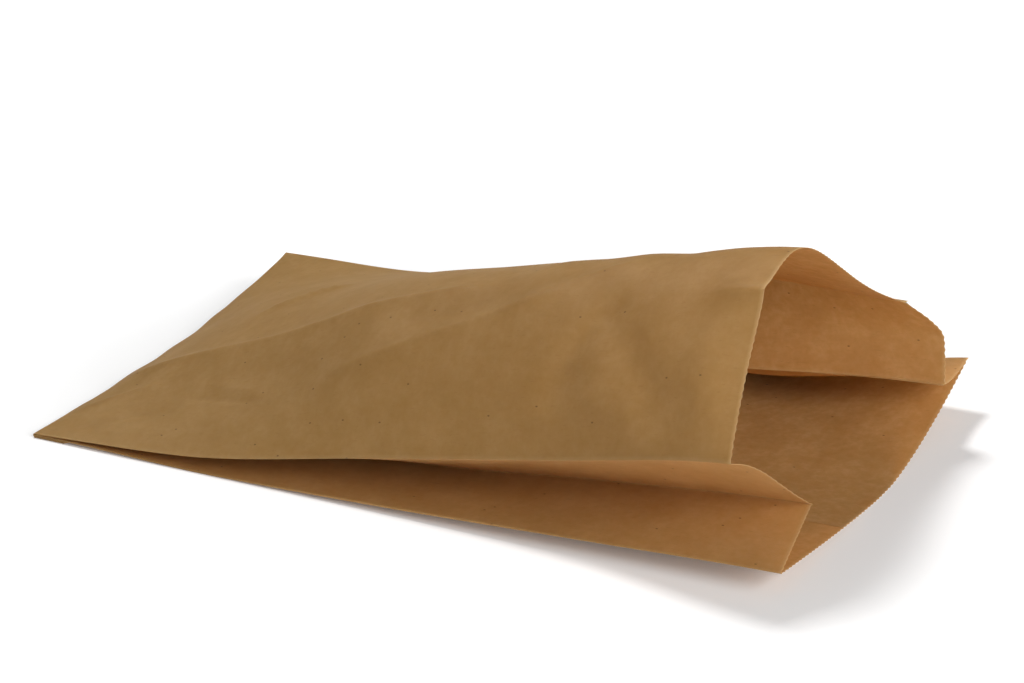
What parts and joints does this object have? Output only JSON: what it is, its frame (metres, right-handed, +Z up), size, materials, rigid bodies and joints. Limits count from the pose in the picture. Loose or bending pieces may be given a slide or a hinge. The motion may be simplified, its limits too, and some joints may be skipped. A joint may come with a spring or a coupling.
{
  "type": "gusseted paper bag",
  "caption": "Flat kraft paper bag with pleated side gussets, lying down with its zigzag-cut mouth opened by hand.",
  "frame": {"origin": "middle of the underside of the overall box, on the surface the bag lies on", "axes": "+X from the closed end to the open mouth, +Y from the near long side to the far one, +Z up"},
  "size_m": [0.3044, 0.167, 0.0966],
  "materials": {
    "kraft_paper": "unbleached brown kraft paper, machine-finished, faint fibres, soft creases"
  },
  "bodies": {
    "root": {"paper_bag": "kraft_paper"}
  },
  "joints": []
}
